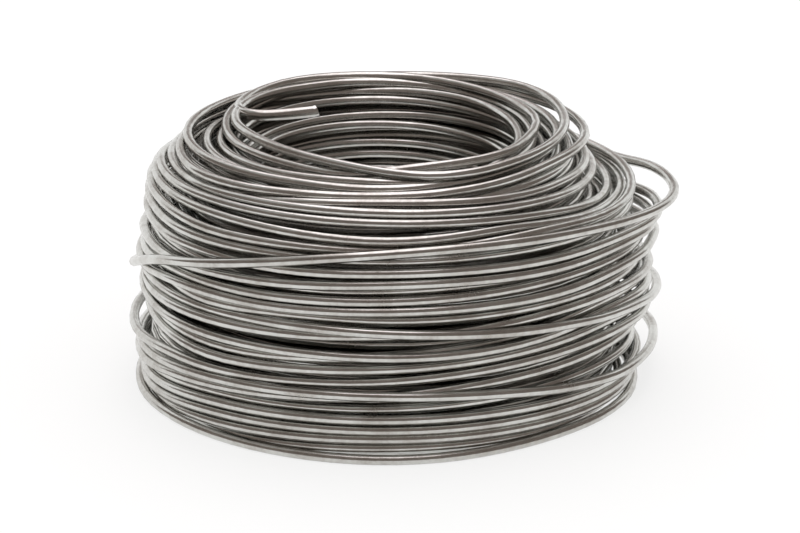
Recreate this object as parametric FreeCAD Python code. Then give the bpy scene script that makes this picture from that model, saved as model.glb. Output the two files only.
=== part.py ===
"""A coil of 1.6 mm binding wire, about 50 m of it, wound by hand and lying on its end.

Millimetres, +Z up. The origin is on the axis of the bore, at the level that the coil rests on.
The front is towards -Y. Bearings are in degrees from +X, turning towards +Y.
"""

import FreeCAD
import Part
import math
import os

# The wire. Its round is drawn with eight flats, whose middles are at the wire's real radius.
WIRE_DIAMETER = 1.6
WIRE_RADIUS = WIRE_DIAMETER / 2
WIRE_SIDES = 8

# The wound turns, as one turned body. Radii and heights are measured to the outside of the wire. The turns
# lie a little apart, by this pitch on average.
TURN_PITCH = 2.05
BORE_RADIUS = 22.0
FOOT_RADIUS = 41.4
BELLY_RADIUS = 43.2
BELLY_HEIGHT = 14.0
SHOULDER_RADIUS = 42.6
SHOULDER_HEIGHT = 36.6
CROWN_RADIUS = 35.4
COIL_HEIGHT = 44.0

# The gap left between the body and a stretch of wire that bears on it, and how closely a hoop is fitted to it.
SEAT_CLEARANCE = 0.1
TIGHT_ENOUGH = 0.001

# Turns that have sprung out of the winding. Each is a hoop round the body, which bears on it at one side and
# stands off it at the other. Its height is measured at the middle of the hoop, to the middle of the wire.
UPPER_TURN_HEIGHT = 26.0
UPPER_TURN_STANDS_OFF = 5.4
UPPER_TURN_TILT = 15.0
MIDDLE_TURN_HEIGHT = 15.8
MIDDLE_TURN_STANDS_OFF = 2.8
MIDDLE_TURN_TILT = 9.0
LOWER_TURN_HEIGHT = 6.9
LOWER_TURN_STANDS_OFF = 4.4
LOWER_TURN_TILT = 5.4
FLOOR_TURN_STANDS_OFF = 1.0

# The free end of the wire, as the corners of its route. It lies on the crown, runs round the back from right
# to left, folds back in over the bore and is cut off there.
FREE_END_HEIGHT = COIL_HEIGHT + SEAT_CLEARANCE + WIRE_RADIUS
FREE_END_ROUTE = [
    (26.9, 1.0),
    (24.1, 10.7),
    (17.0, 20.3),
    (6.8, 27.2),
    (-5.0, 28.6),
    (-16.0, 25.6),
    (-22.7, 18.4),
    (-25.3, 11.4),
    (-24.6, 7.4),
    (-21.6, 5.2),
    (-16.6, 6.1),
    (-11.8, 7.7),
]
# How much of the shorter run the bend at a corner takes up.
BEND_SHARE = 0.45

UP = FreeCAD.Vector(0, 0, 1)
# Half the width of one of the eight flats.
HALF_FLAT = WIRE_RADIUS * math.tan(math.pi / WIRE_SIDES)
# The outline turns less than this at one wire where it only swells or tapers.
GENTLE_BEND = math.radians(10)


def at_bearing(distance, bearing, height=0.0):
    """The point this far from the axis, at this bearing and height."""
    angle = math.radians(bearing)
    return FreeCAD.Vector(distance * math.cos(angle), distance * math.sin(angle), height)


def outwards(direction):
    """The outer side of a direction along the outline, which runs out along the base and up the outside."""
    return FreeCAD.Vector(direction.z, 0, -direction.x)


def turn_centres(corners):
    """The centres of the wires side by side along a line of corners in the XZ plane."""
    centres = []
    for start, end in zip(corners, corners[1:]):
        side = end - start
        pitches = max(1, round(side.Length / TURN_PITCH))
        centres += [start + side * (i / pitches) for i in range(pitches)]
    return centres + [corners[-1]]


def turn_outline(centre, arrives, leaves):
    """The corners of the flats round one wire, between the directions of the outline on each side of it."""
    bend = arrives.getAngle(leaves)
    first = centre + outwards(arrives) * WIRE_RADIUS - arrives * HALF_FLAT
    last = centre + outwards(leaves) * WIRE_RADIUS + leaves * HALF_FLAT
    if bend < GENTLE_BEND:
        return [first, last]
    cut = WIRE_RADIUS * math.tan(bend / 4)
    return [
        first,
        centre + outwards(arrives) * WIRE_RADIUS + arrives * cut,
        centre + outwards(leaves) * WIRE_RADIUS - leaves * cut,
        last,
    ]


def make_wound_turns():
    """The body of the coil: one turned solid with a plain bore, and its turns on its ends and outside."""
    bore_turn = BORE_RADIUS + WIRE_RADIUS
    top_turn = COIL_HEIGHT - WIRE_RADIUS
    centres = turn_centres(
        [
            FreeCAD.Vector(bore_turn, 0, WIRE_RADIUS),
            FreeCAD.Vector(FOOT_RADIUS - WIRE_RADIUS, 0, WIRE_RADIUS),
            FreeCAD.Vector(BELLY_RADIUS - WIRE_RADIUS, 0, BELLY_HEIGHT),
            FreeCAD.Vector(SHOULDER_RADIUS - WIRE_RADIUS, 0, SHOULDER_HEIGHT - WIRE_RADIUS),
            FreeCAD.Vector(CROWN_RADIUS - WIRE_RADIUS, 0, top_turn),
            FreeCAD.Vector(bore_turn, 0, top_turn),
        ]
    )
    outline = []
    arrives = -UP
    for centre, following in zip(centres, centres[1:]):
        half_pitch = (following - centre).Length / 2
        leaves = (following - centre).normalize()
        outline += turn_outline(centre, arrives, leaves)
        valley = WIRE_RADIUS + HALF_FLAT - half_pitch
        outline.append(centre + leaves * half_pitch + outwards(leaves) * valley)
        arrives = leaves
    outline += turn_outline(centres[-1], arrives, -UP)
    section = Part.Face(Part.makePolygon(outline + outline[:1]))
    return section.revolve(FreeCAD.Vector(0, 0, 0), UP, 360)


def wire_section(centre, direction):
    """The eight-sided section of the wire, with its middle at this point and square to this direction."""
    across = direction.cross(UP).normalize()
    corner_radius = WIRE_RADIUS / math.cos(math.pi / WIRE_SIDES)
    corners = []
    for i in range(WIRE_SIDES + 1):
        angle = (2 * i + 1) * math.pi / WIRE_SIDES
        corners.append(centre + (across * math.cos(angle) + UP * math.sin(angle)) * corner_radius)
    return Part.makePolygon(corners)


def body_radius(height):
    """The radius of the body's outside at this height, from the foot to the shoulder."""
    levels = [
        (WIRE_RADIUS, FOOT_RADIUS),
        (BELLY_HEIGHT, BELLY_RADIUS),
        (SHOULDER_HEIGHT - WIRE_RADIUS, SHOULDER_RADIUS),
    ]
    height = min(max(height, levels[0][0]), levels[-1][0])
    for (low, low_radius), (high, high_radius) in zip(levels, levels[1:]):
        if height <= high:
            return low_radius + (high_radius - low_radius) * (height - low) / (high - low)


def make_loose_turn(height, stands_off, off_at, tilt=0, rises_to=0):
    """The smallest hoop of wire that goes round the body, and stands off it at one bearing."""
    middle = at_bearing(stands_off / 2, off_at, height)
    turn = FreeCAD.Rotation(at_bearing(1, rises_to - 90), tilt)
    hoop_radius = body_radius(height)
    shortfall = hoop_radius
    while shortfall > TIGHT_ENOUGH:
        shortfall = 0
        for bearing in range(0, 360, 2):
            point = turn.multVec(at_bearing(hoop_radius, bearing)) + middle
            beside = max(body_radius(point.z - WIRE_RADIUS), body_radius(point.z + WIRE_RADIUS))
            stays_clear = beside + SEAT_CLEARANCE + WIRE_RADIUS
            shortfall = max(shortfall, stays_clear - math.hypot(point.x, point.y))
        hoop_radius += shortfall
    section = Part.Face(wire_section(FreeCAD.Vector(hoop_radius, 0, 0), FreeCAD.Vector(0, 1, 0)))
    hoop = section.revolve(FreeCAD.Vector(0, 0, 0), UP, 360)
    hoop.rotate(FreeCAD.Vector(0, 0, 0), at_bearing(1, rises_to - 90), tilt)
    hoop.translate(middle)
    return hoop


def bent_path(points):
    """Straight runs joined by arcs that are tangent to them, as large as the runs beside them allow."""
    edges = []
    radii = []
    run_starts = points[0]
    for before, corner, after in zip(points, points[1:], points[2:]):
        arrives = corner - before
        leaves = after - corner
        reach = BEND_SHARE * min(arrives.Length, leaves.Length)
        half_bend = arrives.getAngle(leaves) / 2
        radius = reach / math.tan(half_bend)
        radii.append(radius)
        bend_starts = corner - arrives.normalize() * reach
        bend_ends = corner + leaves.normalize() * reach
        inwards = (bend_starts + bend_ends) * 0.5 - corner
        middle = corner + inwards.normalize() * radius * (1 / math.cos(half_bend) - 1)
        edges.append(Part.makeLine(run_starts, bend_starts))
        edges.append(Part.Arc(bend_starts, middle, bend_ends).toShape())
        run_starts = bend_ends
    edges.append(Part.makeLine(run_starts, points[-1]))
    print("bend radii of the free end:", [round(radius, 1) for radius in radii])
    return Part.Wire(edges)


def make_free_end():
    """The last stretch of the wire, to its cut tip."""
    points = [FreeCAD.Vector(x, y, FREE_END_HEIGHT) for x, y in FREE_END_ROUTE]
    path = bent_path(points)
    tube = path.makePipeShell([wire_section(points[0], points[1] - points[0])], True, False)
    section_area = WIRE_SIDES * WIRE_RADIUS * HALF_FLAT
    print("free end:", round(path.Length, 1), "mm, volume by length", round(section_area * path.Length, 1))
    return tube


def main():
    shapes = {
        "wound_turns": make_wound_turns(),
        "loose_turn_upper": make_loose_turn(UPPER_TURN_HEIGHT, UPPER_TURN_STANDS_OFF, 0, UPPER_TURN_TILT, 300),
        "loose_turn_middle": make_loose_turn(MIDDLE_TURN_HEIGHT, MIDDLE_TURN_STANDS_OFF, 355, MIDDLE_TURN_TILT, 270),
        "loose_turn_lower": make_loose_turn(LOWER_TURN_HEIGHT, LOWER_TURN_STANDS_OFF, 8, LOWER_TURN_TILT, 270),
        "loose_turn_floor": make_loose_turn(WIRE_RADIUS, FLOOR_TURN_STANDS_OFF, 310),
        "free_end": make_free_end(),
    }
    os.makedirs("parts", exist_ok=True)
    for name, shape in shapes.items():
        print(name, shape.ShapeType, shape.isValid(), "volume", round(shape.Volume, 1))
        shape.exportStep(f"parts/{name}.step")


main()
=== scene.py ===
"""A coil of bright binding wire, wound by hand, on a white table.

A bearing is in degrees round the bore: 0 is the right, 90 the back, 180 the left and 270 the front. The
winding is worked out in millimetres. The free end, the studio and what is handed to Blender are in metres.
"""

import math

import bmesh
import bpy
import numpy as np
from mathutils import Matrix, Vector


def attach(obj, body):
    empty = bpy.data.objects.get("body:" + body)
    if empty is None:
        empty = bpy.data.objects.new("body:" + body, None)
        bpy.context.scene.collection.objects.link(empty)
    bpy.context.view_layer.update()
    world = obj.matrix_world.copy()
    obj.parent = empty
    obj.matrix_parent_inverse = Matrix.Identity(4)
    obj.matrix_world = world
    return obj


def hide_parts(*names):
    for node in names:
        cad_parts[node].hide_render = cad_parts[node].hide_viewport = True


bl_info = {
    "name": "Coil of Binding Wire",
    "version": (1, 0, 0),
    "blender": (4, 5, 0),
    "location": "View3D > Sidebar > Wire Coil",
    "description": "Winds one long wire into a loose coil with sprung turns and a folded free end",
    "category": "Object",
}

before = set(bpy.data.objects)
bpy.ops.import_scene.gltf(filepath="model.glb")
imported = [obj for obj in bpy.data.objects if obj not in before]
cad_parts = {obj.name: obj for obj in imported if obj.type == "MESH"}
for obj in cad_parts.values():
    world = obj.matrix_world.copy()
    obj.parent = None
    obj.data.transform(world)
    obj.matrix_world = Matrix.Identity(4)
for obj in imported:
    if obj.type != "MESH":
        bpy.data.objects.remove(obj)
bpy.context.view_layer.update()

# Millimetres in a metre.
MM = 1000
# Bearings and turns, in degrees.
LEFT = 180
FRONT = 270
QUARTER_TURN = 90
FULL_TURN = 360

# A full turn is followed at this many bearings.
BEARINGS = 48
BEARING_STEP = FULL_TURN / BEARINGS

# The middle of a wire that lies on the table is this high.
ON_TABLE = 0.8

# The side of the winding, as (height, radius) of the wires on it. It is flatter on the left, and that fades
# out this many degrees to each side.
SIDE = [(0.8, 40.6), (14.0, 42.4), (35.8, 41.8), (43.2, 34.6)]
LEFT_SIDE = [
    (0.8, 40.9),
    (4.0, 41.3),
    (7.0, 42.0),
    (11.5, 42.2),
    (14.5, 41.0),
    (26.0, 41.0),
    (28.5, 40.0),
    (35.8, 39.6),
]
LEFT_SIDE_REACH = 60

# What shows of each turn on the outside, from the table up, as (bearing, height, how far it stands off the
# side). A turn runs from the left round the front to the right and on.
OUTER_TURNS = [
    [(180, 0.8, -2.0), (200, 0.8, -1.8), (225, 0.8, -1.4), (245, 1.6, -0.5), (270, 2.35, 0), (295, 2.1, 0),
     (314, 1.5, 0), (345, 1.0, 0.2), (375, 0.9, -0.4)],
    # The loose turn that lies on the table.
    [(180, 0.8, 1.0), (199, 0.8, 1.2), (214, 0.8, 0.9), (234, 0.8, 0.8), (253, 0.8, 1.0), (267, 0.8, 1.4),
     (280, 0.8, 1.5), (293, 0.8, 1.1), (306, 0.8, 0.9), (315, 0.8, 1.2), (325, 0.8, 2.0), (345, 0.8, 2.9),
     (370, 0.8, 1.8)],
    [(180, 0.9, -0.5), (200, 0.9, -0.4), (220, 2.1, 0), (245, 3.4, 0), (270, 3.95, 0), (285, 3.6, 0),
     (300, 3.1, 0), (314, 2.4, 0), (335, 2.3, 1.5), (360, 2.3, 1.8), (385, 2.3, 0)],
    [(180, 2.3, 0.1), (200, 2.3, 0.3), (210, 3.2, 0), (220, 4.2, 0), (245, 5.3, 0), (270, 5.6, 0),
     (295, 5.2, 0), (314, 4.4, 0), (335, 4.0, 1.6), (360, 4.0, 2.4), (385, 3.8, 0.2)],
    [(180, 3.8, 0), (190, 3.9, 0), (200, 4.3, 0), (210, 5.3, 0), (220, 6.2, 0), (245, 7.3, 0), (270, 7.6, 0),
     (300, 7.1, 0), (314, 6.3, 0), (335, 5.6, 1.4), (360, 5.4, 2.6), (385, 5.2, 0.8)],
    [(180, 5.2, -0.9), (200, 5.8, -1.2), (220, 7.7, -1.5), (245, 8.5, -1.8), (270, 9.0, -1.9),
     (290, 9.3, -1.8), (320, 9.4, -1.0), (350, 8.8, 1.0), (380, 8, 0)],
    # The lower loose turn, which stands furthest off at the right.
    [(180, 8.0, 0), (200, 9.05, 0), (210, 9.9, 0), (220, 10.6, 0), (245, 11.8, 0.1), (270, 12.2, 0.2),
     (290, 11.4, 0.2), (300, 10.6, 0.3), (310, 9.3, 0.4), (314, 8.8, 0.6), (325, 7.9, 1.1), (331, 7.6, 2.7),
     (340, 7.3, 3.6), (348, 7.0, 4.2), (355, 6.7, 4.8), (360, 6.5, 5.2), (367, 6.2, 5.9), (374, 5.9, 6.4),
     (380, 5.7, 6.4), (400, 5.2, 3.5), (430, 4.6, 1)],
    [(180, 6.2, 0.3), (200, 7.0, 0.1), (210, 8.3, -0.2), (220, 8.9, -0.6), (245, 10.2, -1.3),
     (270, 11.4, -1.3), (295, 12.6, -0.9), (314, 12.8, -0.4), (335, 12.9, 0.6), (360, 12.4, 1.6),
     (390, 10.6, 0.4)],
    [(165, 11.0, 0.6), (180, 11.3, 0.9), (190, 11.3, 1.0), (197, 11.5, 0.9), (205, 12.1, 0.3), (212, 12.4, 0),
     (222, 12.6, 0), (245, 13.3, -1.0), (270, 14.1, -1.4), (290, 14.8, -1.4), (310, 15.1, -0.9),
     (330, 15.0, 0.4), (350, 14.2, 2.4), (365, 13.8, 3.0), (390, 12, 1)],
    [(180, 15.0, -1.2), (200, 15.2, -1.0), (206, 15.3, -0.8), (212, 15.3, -0.3), (222, 15.1, 0),
     (240, 15.7, 0), (260, 16.1, -1.0), (285, 16.6, -1.4), (300, 16.9, -1.2), (314, 17.1, -0.6),
     (325, 17.0, -0.3), (335, 16.6, -0.2), (345, 16.1, 1.2), (355, 15.6, 2.4), (370, 15.2, 2.8),
     (395, 13.5, 1)],
    [(180, 16.7, -1.3), (200, 16.9, -1.4), (210, 16.6, -1.1), (222, 16.6, -0.9), (235, 17.1, -0.7),
     (245, 17.5, -0.6), (255, 18.0, -1.1), (275, 18.7, -1.5), (300, 19.5, -1.5), (320, 20.2, -1.4),
     (335, 20.3, -0.8), (345, 20.0, 1.0), (362, 19.2, 2.6), (390, 17, 1)],
    [(180, 18.2, 0), (195, 18.0, 0), (200, 18.1, 0), (220, 18.4, 0), (245, 18.9, 0), (270, 18.8, 0),
     (290, 18.7, 0), (310, 18.9, -0.2), (320, 18.9, -0.7), (330, 18.7, -0.8), (340, 18.3, 0.4),
     (350, 17.9, 2.4), (362, 17.2, 3.2), (390, 15, 1)],
    [(180, 20.6, -0.9), (190, 21.0, -0.4), (200, 21.2, 0), (220, 21.7, 0), (245, 22.4, 0), (258, 22.3, -0.5),
     (272, 22.2, -1.3), (285, 22.0, -1.1), (295, 22.5, -0.2), (314, 22.6, 0), (330, 22.2, 0.7),
     (345, 21.4, 2.2), (360, 20.8, 3.4), (390, 19, 1)],
    # The middle loose turn, which drops across the front to the right.
    [(180, 22.1, -1.1), (200, 22.6, -1.2), (215, 22.8, -1.3), (228, 23.1, -1.1), (236, 23.5, -0.6),
     (245, 23.9, 0), (255, 23.8, 0.3), (266, 23.6, 0.5), (275, 23.1, 0.5), (290, 22.4, 0.6), (300, 21.6, 0.8),
     (310, 20.7, 0.8), (320, 19.9, 0.7), (328, 18.6, 0.7), (335, 17.8, 0.9), (342, 17.3, 2.1),
     (351, 16.6, 3.8), (360, 15.7, 4.6), (371, 14.9, 5.3), (385, 14.2, 4), (410, 13, 1)],
    [(180, 23.8, -1.4), (200, 24.1, -1.5), (210, 24.0, -1.2), (220, 23.8, -0.4), (232, 24.2, -0.9),
     (245, 24.7, -1.5), (275, 24.9, -1.5), (310, 24.4, -1.3), (340, 23.6, 0.6), (365, 22.6, 1.6),
     (390, 21, 0.4)],
    [(180, 23.2, 0), (200, 23.8, 0), (205, 24.5, 0), (210, 25.0, 0), (222, 25.6, 0), (245, 26.2, 0),
     (270, 26.8, 0), (295, 26.6, 0.1), (314, 26.3, 0.6), (326, 26.5, 1.2), (336, 26.4, 1.6), (342, 26.3, 2.9),
     (348, 26.2, 3.3), (355, 26.1, 3.7), (361, 26.0, 4.5), (380, 25, 3), (400, 24, 1)],
    [(180, 25.4, -0.5), (200, 26.3, -0.4), (212, 27.2, -0.8), (220, 27.5, -0.5), (240, 27.9, 0),
     (270, 28.3, -0.2), (295, 28.4, -0.4), (320, 28, 0), (345, 27, 1.6), (365, 26, 2.2), (390, 24.5, 0.4)],
    [(180, 29.0, -1.4), (200, 29.5, -1.4), (225, 30.5, -1.6), (240, 29.4, -1.5), (255, 29.4, -1.4),
     (270, 29.8, -1.4), (300, 29.8, -1.4), (312, 29.3, -1.5), (330, 29.2, -1.4), (350, 28.4, 0.6),
     (375, 27, 0)],
    [(178, 26.8, -0.4), (186, 27.6, -0.3), (192, 28.0, -0.2), (200, 28.0, -0.2), (213, 28.4, -0.2),
     (220, 29.1, 0), (245, 30.3, 0), (270, 31.4, 0), (290, 31.2, 0), (300, 30.8, 0), (310, 30.3, 0),
     (328, 29.7, 0.1), (338, 29.5, 1.2), (344, 29.4, 2.6), (351, 29.2, 3.6), (362, 28.8, 4.0), (380, 27.6, 2),
     (400, 26, 0.4)],
    [(180, 32.0, 0), (200, 32.3, 0), (210, 32.3, 0), (217, 32.4, -0.2), (228, 32.5, -1.0), (245, 32.8, 0),
     (270, 33.3, 0), (290, 33.0, 0), (300, 32.6, 0), (310, 32.1, 0), (328, 31.2, 0), (337, 31.0, 1.4),
     (346, 30.8, 3.5), (354, 30.6, 4.9), (366, 30.2, 5.0), (380, 29, 2.5), (400, 27, 0.4)],
    [(180, 34.4, 0), (200, 34.7, 0), (210, 34.6, 0), (220, 34.8, 0), (235, 35.1, -0.6), (250, 34.9, -1.3),
     (270, 34.8, -1.5), (300, 34.4, -1.5), (320, 33.8, -1.2), (340, 33.2, -0.4), (360, 32.8, 0),
     (380, 32.4, -0.6)],
]

# The turns of the shoulder and crown, from outside in, as (bearing, height, radius).
CROWN_TURNS = [
    # The upper loose turn, which climbs round the front and stands furthest off at the right.
    [(165, 17.6, 42.4), (180, 20.0, 42.6), (195, 24.3, 42.7), (210, 28.4, 42.7), (225, 31.0, 43.1),
     (240, 33.5, 42.8), (255, 35.4, 42.0), (270, 36.6, 41.8), (285, 37.0, 41.8), (300, 36.6, 42.0),
     (315, 35.8, 42.4), (330, 34.7, 43.6), (345, 33.8, 47.2), (360, 33.5, 49.9), (375, 33.7, 47.8),
     (384, 32.9, 44.9), (396, 32.4, 43.2), (420, 31.6, 42.2), (450, 31, 41.6), (480, 32, 41)],
    [(180, 36.8, 39.4), (194, 37.2, 40.0), (205, 37.0, 40.4), (212, 36.8, 40.7), (220, 36.5, 41.0),
     (245, 36.6, 40.5), (270, 36.4, 39.9), (290, 36.6, 40.0), (300, 36.8, 40.4), (314, 36.8, 40.8),
     (319, 36.4, 40.8), (327, 35.8, 41.3), (334, 35.5, 41.9), (342, 35.4, 42.3), (360, 35.4, 42.2),
     (371, 35.4, 41.8), (379, 35.4, 41.0), (385, 35.4, 39.9), (410, 36, 38.6), (450, 37, 37.6),
     (505, 37.2, 37.2)],
    [(180, 38.4, 38.5), (190, 38.6, 38.8), (210, 38.6, 39.0), (220, 38.7, 39.1), (245, 38.6, 39.4),
     (270, 38.1, 40.1), (285, 38.2, 39.8), (300, 38.2, 38.9), (310, 37.4, 38.6), (319, 36.4, 38.6),
     (329, 35.4, 39.0), (344, 34.4, 39.4), (359, 33.6, 40.4), (369, 33.2, 41.0), (381, 33.0, 41.4),
     (400, 33.6, 40.8), (430, 35, 39.0), (480, 37, 37.2), (515, 38.2, 36.2)],
    [(180, 40.0, 37.7), (200, 39.8, 37.8), (220, 40.1, 37.6), (245, 40.4, 37.5), (270, 40.4, 37.7),
     (288, 39.9, 37.9), (300, 39.3, 37.9), (312, 38.4, 37.3), (322, 37.2, 37.0), (335, 36.0, 37.6),
     (344, 35.4, 38.0), (359, 34.6, 38.2), (372, 34.4, 38.6), (384, 34.4, 39.0), (400, 34.8, 38.6),
     (440, 36.8, 36.8), (490, 39, 35.6), (515, 39.6, 35.0)],
    [(180, 40.2, 35.8), (200, 40.5, 35.6), (225, 41.3, 35.9), (250, 41.8, 36.2), (270, 41.8, 36.6),
     (290, 41.2, 36.8), (305, 40.6, 36.7), (320, 39.6, 35.8), (340, 38.2, 35.2), (360, 37.6, 35.6),
     (380, 37.4, 35.6), (420, 38.4, 34.6), (470, 40, 34.6)],
    [(180, 39.8, 34.2), (225, 40.6, 34.2), (250, 42.0, 33.8), (270, 42.4, 33.3), (290, 42.0, 34.0),
     (300, 41.6, 34.4), (314, 41.0, 34.2), (324, 40.4, 33.2), (343, 39.6, 33.8), (360, 39.4, 34.4),
     (380, 39.8, 33.8), (410, 40.6, 33.0), (450, 41.0, 32.6), (500, 40.6, 33.6)],
    [(174, 41.5, 35.0), (183, 41.5, 34.1), (195, 41.5, 33.4), (205, 41.5, 32.9), (214, 41.4, 31.9),
     (225, 41.2, 31.4), (270, 41.0, 31.4), (315, 41.4, 32.2), (360, 41.2, 31.6), (405, 41.6, 31),
     (450, 41.8, 30.6), (495, 41.6, 32)],
    [(180, 41.2, 31.2), (225, 41.0, 29.6), (270, 41.0, 29.6), (315, 41.4, 30.6), (360, 41.4, 29.4),
     (405, 42.2, 28.8), (450, 42.0, 28.8), (495, 41.6, 29.6)],
    [(180, 41.0, 28.0), (225, 41.0, 27.6), (270, 41.0, 27.8), (315, 41.4, 28.8), (360, 41.4, 27.0),
     (405, 41.8, 26.2), (450, 41.8, 27.0), (495, 42.0, 28.6)],
    [(183, 42.8, 30.0), (194, 42.8, 30.1), (205, 42.8, 30.3), (216, 42.6, 29.7), (227, 42.0, 28.4),
     (237, 41.6, 26.6), (250, 41.4, 25.8), (270, 41.4, 25.6), (315, 41.6, 26.4), (360, 41.6, 24.6),
     (405, 41.6, 24.0), (450, 41.6, 25.0), (495, 41.6, 25.6)],
    [(180, 41.4, 25.4), (225, 41.4, 23.6), (270, 42.0, 23.6), (285, 42.2, 24.4), (298, 42.4, 25.1),
     (315, 42.8, 24.9), (330, 43.2, 24.2), (345, 43.4, 23.6), (360, 43.4, 22.9), (375, 43.4, 22.8),
     (390, 43.4, 23.0), (420, 43.2, 24.6), (450, 43.0, 26.4), (480, 42.4, 28.6), (510, 41.8, 31.4)],
    [(180, 41.7, 34.1), (194, 41.8, 35.0), (204, 41.9, 35.6), (213, 42.0, 35.7), (222, 42.1, 35.1),
     (231, 42.3, 34.1), (245, 42.5, 32.3), (259, 42.6, 31.3), (275, 42.8, 31.2), (290, 43.0, 31.8),
     (310, 43.1, 31.6), (330, 43.2, 31.4), (335, 43.2, 31.8), (345, 43.2, 33.0), (351, 43.2, 33.9),
     (358, 43.2, 34.4), (370, 43.2, 34.4), (383, 43.2, 34.2), (400, 43.2, 33.0), (420, 43.2, 31.8),
     (450, 43.2, 31.0), (480, 43.1, 31.0), (510, 43.1, 31.4)],
    [(176, 43.1, 33.5), (186, 43.2, 33.6), (195, 43.2, 33.2), (205, 43.2, 32.4), (214, 43.2, 31.6),
     (222, 43.2, 30.7), (230, 43.3, 29.8), (241, 43.3, 29.1), (257, 43.3, 29.2), (274, 43.3, 29.2),
     (290, 43.3, 28.7), (315, 43.3, 28.0), (340, 43.3, 28.6), (360, 43.3, 29.6), (385, 43.3, 29.6),
     (420, 43.3, 28.6), (450, 43.3, 28.6), (480, 43.0, 28.6), (510, 42.6, 28.6)],
    [(179, 42.4, 28.2), (190, 42.4, 27.8), (202, 42.4, 26.9), (215, 42.4, 26.4), (225, 42.4, 26.2),
     (235, 42.5, 25.8), (245, 42.7, 25.4), (258, 43.0, 25.6), (275, 43.3, 26.1), (290, 43.2, 26.6),
     (315, 43.2, 26.0), (340, 43.2, 25.4), (360, 43.2, 25.2), (390, 43.2, 25.6), (420, 43.2, 26.6),
     (450, 43.3, 27.0), (480, 43.6, 27.2), (505, 44.5, 27.4)],
    # The last full turn lies on top of the others.
    [(169, 44.9, 26.1), (180, 44.9, 24.8), (191, 44.9, 23.2), (206, 44.9, 21.8), (222, 44.9, 21.0),
     (239, 44.9, 21.1), (250, 44.9, 21.5), (256, 44.9, 22.5), (267, 44.9, 24.3), (277, 44.9, 26.5),
     (286, 44.9, 28.3), (294, 44.9, 29.2), (310, 44.9, 29.0), (323, 44.9, 29.2), (337, 44.9, 29.6),
     (349, 44.9, 30.2), (363, 44.9, 30.9), (376, 44.9, 31.7), (388, 44.9, 32.6), (399, 44.9, 33.0),
     (410, 44.7, 32.3), (425, 44.4, 30.8), (440, 44.1, 30.0), (460, 43.6, 29.8), (490, 43.1, 29.6),
     (515, 43.1, 28.4)],
    # The stretch that leads up to the free end.
    [(172, 43.2, 27.3), (183, 43.1, 26.2), (195, 43.1, 25.0), (207, 43.1, 23.6), (220, 43.2, 22.6),
     (235, 43.2, 22.1), (249, 43.2, 22.1), (258, 43.3, 22.2), (266, 43.8, 22.5), (278, 44.8, 22.9),
     (289, 44.9, 23.3), (301, 44.9, 23.7), (314, 44.9, 24.6), (329, 44.9, 25.5), (340, 44.9, 26.4)],
]
# Between two turns the wire crosses over on its own. It takes at least this many degrees for that.
CROSSES_OVER = 12

# The free end of the wire lies on the crown at this height and follows these points, in metres.
FREE_END_HEIGHT = 0.0449
FREE_END_ROUTE = [
    (0.0269, 0.0010),
    (0.0241, 0.0107),
    (0.0170, 0.0203),
    (0.0068, 0.0272),
    (-0.0050, 0.0286),
    (-0.0160, 0.0256),
    (-0.0227, 0.0184),
    (-0.0253, 0.0114),
    (-0.0246, 0.0074),
    (-0.0216, 0.0052),
    (-0.0166, 0.0061),
    (-0.0125, 0.0075),
]
# The tip was nipped off with pliers. Its last points turn it up a little.
NIPPED_TIP = [(-0.0119, 0.0077, 0.0449), (-0.0113, 0.0079, 0.0451)]
# The folded stretch looks thicker towards the tip, so it is drawn thicker than the real wire there, by these
# factors, point by point.
FREE_END_THICKNESS = [1.0] * 7 + [1.06, 1.12, 1.18, 1.22, 1.26, 1.26, 1.3]

# The hidden layers. The first lies on the wall of the bore, and each next one further out by the pitch. They
# end under the turns of the crown, and from this radius on under those of the shoulder.
BORE_LAYER_RADIUS = 22.8
LAYER_PITCH = 1.8
TOP_UNDER_CROWN = 39.6
TOP_UNDER_SHOULDER = 33.6
SHOULDER_RADIUS = 34
# The turns on the wall of the bore lie further apart than the others, so that the wall has dark gaps in it.
BORE_TURN_PITCH = 2.7
HIDDEN_TURN_PITCH = 1.78
# The bore widens towards the table by this much. That dies away over this many layers.
BORE_FLARE = 1.6
FLARED_LAYERS = 3
# The stray of the hidden turns is drawn at each quarter turn and evened out over about this many of them, up
# to the reach. It is a little less sideways than up and down.
STRAY_WIDTH = 2.2
STRAY_REACH = 6
SIDEWAYS_STRAY = 0.9
# The hidden turns near the outside ride higher at the front and lower at the back by this much. It comes in
# from this radius on, over so many millimetres, and over the first millimetres above the table.
RIDE_UP = 2.6
RIDE_UP_FROM_RADIUS = 33
RIDE_UP_OVER_RADIUS = 8
RIDE_UP_OVER_HEIGHT = 12

# The wires settle this many diameters apart, in so many rounds. Each wire's neighbours are looked up again
# after some rounds, and each round overshoots by this factor, which takes fewer of them.
WIRE_SPACING = 1.01
SETTLE_ROUNDS = 160
LOOK_AGAIN_AFTER = 20
OVERSHOOT = 1.3
# A move is shared out along the wire, over about this many bearings.
SHARED_WIDTH = 3.0
SHARED_REACH = 9
# The turns that show keep their places better than the hidden ones, above all in height.
SHOWN_GIVES_HEIGHT = 0.15
SHOWN_GIVES_RADIUS = 0.6
# Nothing settles above these heights or inside these radii.
SHOWN_TOP = 44.9
HIDDEN_TOP = 40.4
SHOWN_LEAST_RADIUS = 20.9
HIDDEN_LEAST_RADIUS = BORE_LAYER_RADIUS
# The height of a place past the end of the wire, which comes near to nothing.
FAR_AWAY = 1e6
# Keeps a distance from being 0.
HARDLY_ANYTHING = 1e-6

# Where hidden turns can be seen, on the wall of the bore and under the crown, and where turns stand off.
BORE_WALL_RADIUS = 24.6
SEEN_FROM_HEIGHT = 38
SPRUNG_RADIUS = 44.2
# The wire's control points: one at every so many bearings, and outside the wire by this factor, because the
# smooth line cuts inside them.
CONTROL_POINTS = {"sprung": (1, 1.0022), "shown": (2, 1.0086), "hidden": (4, 1.0346)}
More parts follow.
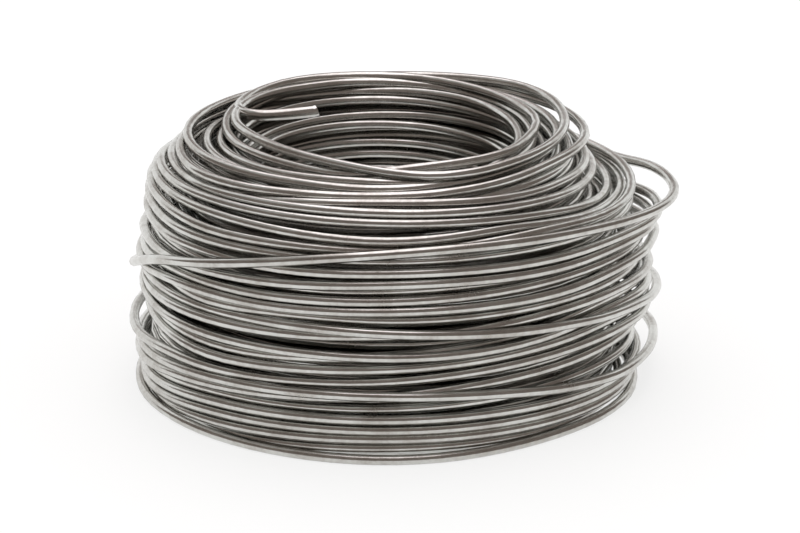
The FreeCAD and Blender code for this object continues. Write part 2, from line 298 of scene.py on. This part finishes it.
# The wire is drawn with eight flats. Its corners stand out by this factor, so that it looks as thick as the
# round wire.
CORNERS_STAND_OUT = 1.065

# The patterns on the steel, as how many there are to a metre: patches of film of about 6 mm, marks from
# handling of about 0.5 mm, and lines from the drawing die. The wires lie nearly level, so the lines are fine
# upwards, 0.25 mm, and long to the sides, about 11 mm.
FILM_PATCHES = 160.0
HANDLING_MARKS = 1900.0
DIE_LINES = (90.0, 90.0, 4000.0)
# The film begins at the first value of the pattern and is full at the second. The marks add this share to it.
FILM_RANGE = (0.52, 0.9)
MARKS_IN_FILM = 0.3
BARE_ROUGHNESS = 0.18
FILM_ROUGHNESS = 0.28
# How deep the marks and lines are, in metres, and how strongly they show.
RELIEF_DEPTH = 0.00006
RELIEF_STRENGTH = 0.06

# The studio, in metres. The paper keeps a share of the shading that falls on it.
TABLE_RADIUS = 1.6
PAPER_COLOUR = "#f4f4f2"
SHADING_KEPT = 0.3
# Grey felt hangs round the table at this distance, outside the picture. Each length runs from one bearing to
# another and from one height to another, and has its own grey. The scrims hang above the front flag.
FELT_DISTANCE = 1.25
FELT = [
    ("front_flag", 150, 400, 0.0, 1.2, "#78706b"),
    ("left_scrim", 130, 205, 1.2, 4.4, "#b0aeab"),
    ("front_scrim", 205, 410, 1.2, 4.4, "#7d7570"),
    ("back_flag", 65, 115, 0.45, 1.3, "#78706b"),
]
# A soft box hangs over the table, a little behind the coil, and points at it.
LAMP_PLACE = (0.0, 0.35, 1.1)
LAMP_AIM = (0.0, 0.0, 0.02)
LAMP_WIDTH = 0.75
LAMP_DEPTH = 2.1
LAMP_WATTS = 5.2
LAMP_COLOUR = "#fff4f8"

# The camera looks down at this point by so many degrees, from this distance. Its focal length is measured in
# pixels of the photograph, which is so many wide.
CAMERA_AIM = (0.00279, 0.0, 0.01934)
CAMERA_DISTANCE = 0.73
CAMERA_PITCH = 19.98
FOCAL_PIXELS = 4238
PHOTOGRAPH_WIDTH = 800
SENSOR_WIDTH = 36.0


def linear(hex_colour):
    """An sRGB hex colour as the linear values that a shader works in."""
    values = [int(hex_colour[i : i + 2], 16) / 255 for i in (1, 3, 5)]
    return tuple(v / 12.92 if v <= 0.04045 else ((v + 0.055) / 1.055) ** 2.4 for v in values)


class WireCoilSettings(bpy.types.PropertyGroup):
    """Sizes of the winding and colours of the wire."""

    wire_diameter: bpy.props.FloatProperty(
        name="Wire Diameter",
        description="Thickness of the wire",
        default=0.0016,
        min=0.001,
        max=0.003,
        precision=4,
        unit="LENGTH",
        subtype="DISTANCE",
    )
    wire_length: bpy.props.FloatProperty(
        name="Wire Length",
        description="Length of wire in the coil",
        default=50.0,
        min=40.0,
        max=60.0,
        unit="LENGTH",
        subtype="DISTANCE",
    )
    layers: bpy.props.IntProperty(
        name="Hidden Layers",
        description="Layers of turns between the bore and the outside",
        default=10,
        min=8,
        max=11,
    )
    wander: bpy.props.FloatProperty(
        name="Wander",
        description="How far the hidden turns stray from a neat helix",
        default=0.00045,
        min=0.0,
        max=0.002,
        precision=5,
        unit="LENGTH",
        subtype="DISTANCE",
    )
    seed: bpy.props.IntProperty(
        name="Seed",
        description="Picks the way that the hidden turns stray",
        default=7,
        min=0,
    )
    steel_colour: bpy.props.FloatVectorProperty(
        name="Steel",
        description="Colour of the bare drawn steel",
        default=linear("#d0d0cc"),
        size=3,
        min=0.0,
        max=1.0,
        subtype="COLOR",
    )
    film_colour: bpy.props.FloatVectorProperty(
        name="Drawing Film",
        description="Colour of the thin grey film that drawing and handling leave on the wire",
        default=linear("#b0aca6"),
        size=3,
        min=0.0,
        max=1.0,
        subtype="COLOR",
    )


def side_radius(height, bearing):
    """The radius of the wires on the side of the winding, at this height and bearing."""
    all_round = np.interp(height, *zip(*SIDE))
    flatter = np.interp(height, *zip(*LEFT_SIDE))
    from_left = min(abs(bearing - LEFT) / LEFT_SIDE_REACH, 1.0)
    return float(all_round + (flatter - all_round) * math.cos(from_left * math.pi / 2) ** 2)


def smooth_through(knots, values, at):
    """A smooth line through the values at the knots, without swings between them."""
    gaps = np.diff(knots)
    slopes = np.diff(values, axis=0) / gaps[:, None]
    share = (gaps[1:] / (gaps[1:] + gaps[:-1]))[:, None]
    tangents = np.concatenate([slopes[:1], slopes[:-1] * share + slopes[1:] * (1 - share), slopes[-1:]])
    i = np.clip(np.searchsorted(knots, at, side="right") - 1, 0, len(gaps) - 1)
    gap = gaps[i][:, None]
    t = (at - knots[i])[:, None] / gap
    return (
        values[i] * (1 + 2 * t) * (1 - t) ** 2
        + values[i + 1] * t * t * (3 - 2 * t)
        + gap * t * (1 - t) * (tangents[i] * (1 - t) - tangents[i + 1] * t)
    )


def bell(width, reach):
    """A bell curve of this width, at the whole numbers up to reach on each side."""
    return np.exp(-0.5 * (np.arange(-reach, reach + 1) / width) ** 2)


def hidden_layers(layers, wander, seed):
    """Neat layers up and down inside the winding, with some stray in them, as (bearing, height, radius)."""
    rows = []
    bearing = 0.0
    for layer in range(layers):
        radius = BORE_LAYER_RADIUS + LAYER_PITCH * layer
        height = (TOP_UNDER_CROWN if radius < SHOULDER_RADIUS else TOP_UNDER_SHOULDER) - ON_TABLE
        flare = BORE_FLARE * max(0, 1 - layer / FLARED_LAYERS)
        pitch = HIDDEN_TURN_PITCH if layer else BORE_TURN_PITCH
        quarters = 4 * round(height / pitch)
        for quarter in range(quarters):
            share = (quarter + 0.5) / quarters
            if layer % 2:
                share = 1 - share
            rows.append((bearing, ON_TABLE + height * share, radius + flare * (1 - share)))
            bearing += QUARTER_TURN
    rows = np.array(rows)
    stray = np.random.default_rng(seed).normal(0, 1, (len(rows), 2))
    blur = bell(STRAY_WIDTH, STRAY_REACH)
    blur /= math.sqrt((blur**2).sum())
    rows[:, 1] += np.convolve(stray[:, 0], blur, mode="same") * wander
    rows[:, 2] += np.convolve(stray[:, 1], blur, mode="same") * wander * SIDEWAYS_STRAY
    bearings, heights, radii = rows.T
    ride_up = RIDE_UP * np.clip((radii - RIDE_UP_FROM_RADIUS) / RIDE_UP_OVER_RADIUS, 0, 1)
    ride_up *= np.clip(heights / RIDE_UP_OVER_HEIGHT, 0, 1)
    rows[:, 1] += ride_up * np.cos(np.radians(bearings - FRONT))
    return rows


def wound_line(settings):
    """The bearings, heights and radii along the wound wire, and where it lies in the turns that show."""
    hidden = hidden_layers(settings.layers, settings.wander * MM, settings.seed)
    tables = [np.column_stack([hidden, np.zeros(len(hidden))])]
    start = FULL_TURN * math.ceil(hidden[-1, 0] / FULL_TURN)
    outer_turns = [[(b, h, side_radius(h, b) + off) for b, h, off in turn] for turn in OUTER_TURNS]
    for turn in outer_turns + CROWN_TURNS:
        tables.append(np.array([(b + start, h, r, 1.0) for b, h, r in turn]))
        start += FULL_TURN
    kept = [t[t[:, 0] < following[0, 0] - CROSSES_OVER] for t, following in zip(tables, tables[1:])]
    table = np.concatenate(kept + tables[-1:])
    first = math.ceil(table[0, 0] / BEARING_STEP)
    last = math.floor(table[-1, 0] / BEARING_STEP)
    bearings = np.arange(first, last + 1) * BEARING_STEP
    line = smooth_through(table[:, 0], table[:, 1:3], bearings)
    in_shown_turns = np.interp(bearings, table[:, 0], table[:, 3]) > 0.5
    return bearings, line[:, 0], line[:, 1], in_shown_turns


def close_pairs(heights, radii, reach):
    """The pairs of wires within this reach of each other at one bearing, as their places along the line."""
    rows = math.ceil(len(heights) / BEARINGS)
    spare = rows * BEARINGS - len(heights)
    up = np.pad(heights, (0, spare), constant_values=FAR_AWAY).reshape(rows, BEARINGS).T
    out = np.pad(radii, (0, spare)).reshape(rows, BEARINGS).T
    apart = (up[:, :, None] - up[:, None, :]) ** 2 + (out[:, :, None] - out[:, None, :]) ** 2
    later = np.triu(np.ones((rows, rows), bool), 1)
    bearing, a, b = np.nonzero((apart < reach**2) & later)
    return a * BEARINGS + bearing, b * BEARINGS + bearing


def settle(heights, radii, in_shown_turns, gap):
    """Moves the wires apart at each bearing, until they lie beside and on each other, not in each other."""
    count = len(heights)
    gives_height = np.where(in_shown_turns, SHOWN_GIVES_HEIGHT, 1.0)
    gives_radius = np.where(in_shown_turns, SHOWN_GIVES_RADIUS, 1.0)
    top = np.where(in_shown_turns, SHOWN_TOP, HIDDEN_TOP)
    least_radius = np.where(in_shown_turns, SHOWN_LEAST_RADIUS, HIDDEN_LEAST_RADIUS)
    blur = bell(SHARED_WIDTH, SHARED_REACH)
    blur /= blur.sum()
    for step in range(SETTLE_ROUNDS):
        if step % LOOK_AGAIN_AFTER == 0:
            a, b = close_pairs(heights, radii, 2 * gap)
        up, out = heights[a] - heights[b], radii[a] - radii[b]
        distance = np.hypot(up, out) + HARDLY_ANYTHING
        push = np.clip(gap - distance, 0, None) / distance
        up = up * push / (gives_height[a] + gives_height[b])
        out = out * push / (gives_radius[a] + gives_radius[b])
        move_up = np.bincount(a, up, count) - np.bincount(b, up, count)
        move_out = np.bincount(a, out, count) - np.bincount(b, out, count)
        heights = heights + OVERSHOOT * np.convolve(move_up * gives_height, blur, mode="same")
        radii = radii + OVERSHOOT * np.convolve(move_out * gives_radius, blur, mode="same")
        heights = np.clip(heights, ON_TABLE, top)
        radii = np.maximum(radii, least_radius)
    return heights, radii


def wound_points(settings):
    """The control points of the wound wire, in metres, up to where the free end begins."""
    bearings, heights, radii, in_shown_turns = wound_line(settings)
    heights, radii = settle(heights, radii, in_shown_turns, settings.wire_diameter * (MM * WIRE_SPACING))
    sprung = in_shown_turns & (radii > SPRUNG_RADIUS)
    shown = in_shown_turns | (radii < BORE_WALL_RADIUS) | (heights > SEEN_FROM_HEIGHT)
    points = []
    for n, (bearing, height, radius) in enumerate(zip(bearings, heights, radii)):
        every, outside = CONTROL_POINTS["sprung" if sprung[n] else "shown" if shown[n] else "hidden"]
        if n % every == 0:
            angle = math.radians(bearing)
            reach = radius * outside / MM
            points.append((reach * math.cos(angle), reach * math.sin(angle), height / MM))
    return points


def add_node(tree, kind, settings=None, **links):
    """Adds a node with its settings, and with its inputs as values or as the sockets that feed them.

    An input goes by its name, with _ for a space, or by its number after a _.
    """
    node = tree.nodes.new(kind)
    for name, value in (settings or {}).items():
        setattr(node, name, value)
    for name, value in links.items():
        socket = node.inputs[int(name[1:])] if name[1:].isdigit() else node.inputs[name.replace("_", " ")]
        if isinstance(value, bpy.types.NodeSocket):
            tree.links.new(value, socket)
        else:
            socket.default_value = value
    return node


def empty_tree(owner):
    """The node tree of a material or world, with nothing in it."""
    owner.use_nodes = True
    owner.node_tree.nodes.clear()
    return owner.node_tree


def drawn_steel(settings):
    """Bright drawn steel wire: smooth and satin, so that it mirrors the room in bands along the wire.

    A thin grey film comes and goes on it, and the drawing die has left faint lines.
    """
    material = bpy.data.materials.new("drawn steel wire")
    tree = empty_tree(material)
    place = add_node(tree, "ShaderNodeTexCoord").outputs["Object"]
    along = add_node(tree, "ShaderNodeMapping", Vector=place, Scale=DIE_LINES).outputs[0]
    noise = "ShaderNodeTexNoise"
    patches = add_node(tree, noise, Vector=place, Scale=FILM_PATCHES, Detail=3.0, Roughness=0.6)
    marks = add_node(tree, noise, Vector=place, Scale=HANDLING_MARKS, Detail=1.0, Roughness=0.5)
    lines = add_node(tree, noise, Vector=along, Scale=1.0, Detail=2.0, Roughness=0.6)
    film = add_node(
        tree,
        "ShaderNodeMath",
        {"operation": "MULTIPLY_ADD"},
        _0=marks.outputs["Fac"],
        _1=MARKS_IN_FILM,
        _2=patches.outputs["Fac"],
    )
    share = add_node(
        tree,
        "ShaderNodeMapRange",
        Value=film.outputs[0],
        From_Min=FILM_RANGE[0],
        From_Max=FILM_RANGE[1],
        To_Min=0.0,
        To_Max=1.0,
    )
    colour = add_node(
        tree,
        "ShaderNodeMix",
        {"data_type": "RGBA"},
        _0=share.outputs[0],
        _6=(*settings.steel_colour, 1.0),
        _7=(*settings.film_colour, 1.0),
    )
    roughness = add_node(
        tree,
        "ShaderNodeMapRange",
        Value=film.outputs[0],
        From_Min=FILM_RANGE[0],
        From_Max=FILM_RANGE[1],
        To_Min=BARE_ROUGHNESS,
        To_Max=FILM_ROUGHNESS,
    )
    relief = add_node(
        tree, "ShaderNodeMath", {"operation": "ADD"}, _0=lines.outputs["Fac"], _1=marks.outputs["Fac"]
    )
    bump = add_node(
        tree, "ShaderNodeBump", Strength=RELIEF_STRENGTH, Distance=RELIEF_DEPTH, Height=relief.outputs[0]
    )
    shader = add_node(
        tree,
        "ShaderNodeBsdfPrincipled",
        Base_Color=colour.outputs[2],
        Metallic=1.0,
        Roughness=roughness.outputs[0],
        Normal=bump.outputs[0],
    )
    add_node(tree, "ShaderNodeOutputMaterial", Surface=shader.outputs[0])
    return material


class WIRECOIL_OT_wire(bpy.types.Operator):
    """Winds the whole wire, from the first hidden turn to the cut end over the bore"""

    bl_idname = "wire_coil.wire"
    bl_label = "Wind the Wire"

    def execute(self, context):
        settings = context.scene.wire_coil
        points = wound_points(settings)
        thickness = [1.0] * len(points) + FREE_END_THICKNESS
        points += [(x, y, FREE_END_HEIGHT) for x, y in FREE_END_ROUTE] + NIPPED_TIP
        curve = bpy.data.curves.new("binding_wire", "CURVE")
        curve.dimensions = "3D"
        curve.resolution_u = 3
        curve.bevel_depth = settings.wire_diameter / 2 * CORNERS_STAND_OUT
        curve.bevel_resolution = 2
        curve.use_fill_caps = True
        spline = curve.splines.new("NURBS")
        spline.points.add(len(points) - 1)
        spline.points.foreach_set("co", [c for point in points for c in (*point, 1.0)])
        spline.points.foreach_set("radius", thickness)
        spline.order_u = 3
        spline.use_endpoint_u = True
        wire = bpy.data.objects.new("binding_wire", curve)
        context.scene.collection.objects.link(wire)
        curve.materials.append(drawn_steel(settings))
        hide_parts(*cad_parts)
        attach(wire, "root")
        return {"FINISHED"}


def shows_background(tree):
    """1 for the rays that show the background, straight or in metal or glass, and 0 for the others."""
    path = add_node(tree, "ShaderNodeLightPath")
    shows = path.outputs["Is Camera Ray"]
    for kind in ("Is Glossy Ray", "Is Transmission Ray"):
        either = add_node(tree, "ShaderNodeMath", {"operation": "MAXIMUM"}, _0=shows, _1=path.outputs[kind])
        shows = either.outputs[0]
    return shows


def white_paper():
    """White background paper: matt, lit to plain white, with a share of the shading that falls on it."""
    material = bpy.data.materials.new("white paper")
    tree = empty_tree(material)
    matt = add_node(tree, "ShaderNodeBsdfDiffuse", Color=(*linear(PAPER_COLOUR), 1.0))
    white = add_node(tree, "ShaderNodeEmission", Color=(1.0, 1.0, 1.0, 1.0), Strength=1.0)
    lit = add_node(
        tree, "ShaderNodeMath", {"operation": "MULTIPLY"}, _0=shows_background(tree), _1=1 - SHADING_KEPT
    )
    mix = add_node(tree, "ShaderNodeMixShader", _0=lit.outputs[0], _1=matt.outputs[0], _2=white.outputs[0])
    add_node(tree, "ShaderNodeOutputMaterial", Surface=mix.outputs[0])
    return material


def grey_felt(colour):
    """Grey felt: dull, and as dark from all sides."""
    material = bpy.data.materials.new("grey felt")
    tree = empty_tree(material)
    matt = add_node(tree, "ShaderNodeBsdfDiffuse", Color=(*linear(colour), 1.0))
    add_node(tree, "ShaderNodeOutputMaterial", Surface=matt.outputs[0])
    return material


def add_to_studio(scene, name, shape, material):
    """Makes a piece of the studio from a bmesh."""
    mesh = bpy.data.meshes.new(name)
    shape.to_mesh(mesh)
    shape.free()
    mesh.materials.append(material)
    piece = bpy.data.objects.new(name, mesh)
    scene.collection.objects.link(piece)
    return piece


def hang_felt(scene, name, first, last, low, high, colour):
    """Hangs a length of felt round the table. Only the metal sees it, as the dark bands along each wire."""
    shape = bmesh.new()
    start = Matrix.Rotation(math.radians(first), 3, "Z") @ Vector((FELT_DISTANCE, 0, low))
    corner = bmesh.ops.create_vert(shape, co=start)["vert"]
    bmesh.ops.spin(
        shape, geom=corner, cent=(0, 0, 0), axis=(0, 0, 1), angle=math.radians(last - first), steps=24
    )
    raised = bmesh.ops.extrude_edge_only(shape, edges=shape.edges[:])
    top = [part for part in raised["geom"] if isinstance(part, bmesh.types.BMVert)]
    bmesh.ops.translate(shape, verts=top, vec=(0, 0, high - low))
    felt = add_to_studio(scene, name, shape, grey_felt(colour))
    felt.visible_camera = False
    felt.visible_diffuse = False
    felt.visible_shadow = False


def hang_lamp(scene):
    """Hangs the soft box over the coil."""
    lamp = bpy.data.lights.new("overhead", "AREA")
    lamp.shape = "RECTANGLE"
    lamp.size = LAMP_WIDTH
    lamp.size_y = LAMP_DEPTH
    lamp.energy = LAMP_WATTS
    lamp.color = linear(LAMP_COLOUR)
    holder = bpy.data.objects.new("overhead", lamp)
    aim = (Vector(LAMP_AIM) - Vector(LAMP_PLACE)).to_track_quat("-Z", "Y")
    holder.matrix_world = Matrix.Translation(LAMP_PLACE) @ aim.to_matrix().to_4x4()
    scene.collection.objects.link(holder)


def set_camera(scene):
    """Sets the camera where the photograph was taken from."""
    pitch = math.radians(CAMERA_PITCH)
    backwards = Vector((0, -math.cos(pitch), math.sin(pitch)))
    camera = bpy.data.cameras.new("camera")
    camera.sensor_width = SENSOR_WIDTH
    camera.lens = FOCAL_PIXELS / PHOTOGRAPH_WIDTH * SENSOR_WIDTH
    camera.clip_start = 0.05
    camera.clip_end = 20.0
    holder = bpy.data.objects.new("camera", camera)
    holder.location = Vector(CAMERA_AIM) + CAMERA_DISTANCE * backwards
    holder.rotation_euler = (math.pi / 2 - pitch, 0, 0)
    scene.collection.objects.link(holder)
    scene.camera = holder


class WIRECOIL_OT_studio(bpy.types.Operator):
    """Sets up the white table and room, the felt that gives metal its dark bands, the lamp and the camera"""

    bl_idname = "wire_coil.studio"
    bl_label = "Set Up the Studio"

    def execute(self, context):
        scene = context.scene
        table = bmesh.new()
        bmesh.ops.create_circle(table, cap_ends=True, segments=64, radius=TABLE_RADIUS)
        add_to_studio(scene, "table_top", table, white_paper())
        for length in FELT:
            hang_felt(scene, *length)
        scene.world = bpy.data.worlds.new("studio")
        tree = empty_tree(scene.world)
        white = add_node(tree, "ShaderNodeBackground", Color=(1.0, 1.0, 1.0, 1.0), Strength=1.0)
        add_node(tree, "ShaderNodeOutputWorld", Surface=white.outputs[0])
        hang_lamp(scene)
        set_camera(scene)
        scene.view_settings.view_transform = "Standard"
        return {"FINISHED"}


class WIRECOIL_PT_panel(bpy.types.Panel):
    """Lists the sizes and colours of the coil, and its steps"""

    bl_label = "Wire Coil"
    bl_idname = "WIRECOIL_PT_panel"
    bl_space_type = "VIEW_3D"
    bl_region_type = "UI"
    bl_category = "Wire Coil"

    def draw(self, context):
        settings = context.scene.wire_coil
        for name in WireCoilSettings.__annotations__:
            self.layout.prop(settings, name)
        for operator in OPERATORS:
            self.layout.operator(operator.bl_idname)


OPERATORS = (WIRECOIL_OT_wire, WIRECOIL_OT_studio)


def register():
    for cls in (WireCoilSettings, *OPERATORS, WIRECOIL_PT_panel):
        bpy.utils.register_class(cls)
    bpy.types.Scene.wire_coil = bpy.props.PointerProperty(type=WireCoilSettings)


def unregister():
    del bpy.types.Scene.wire_coil
    for cls in (WIRECOIL_PT_panel, *reversed(OPERATORS), WireCoilSettings):
        bpy.utils.unregister_class(cls)


def main():
    register()
    bpy.ops.wire_coil.wire()
    bpy.ops.wire_coil.studio()


if __name__ == "__main__":
    main()
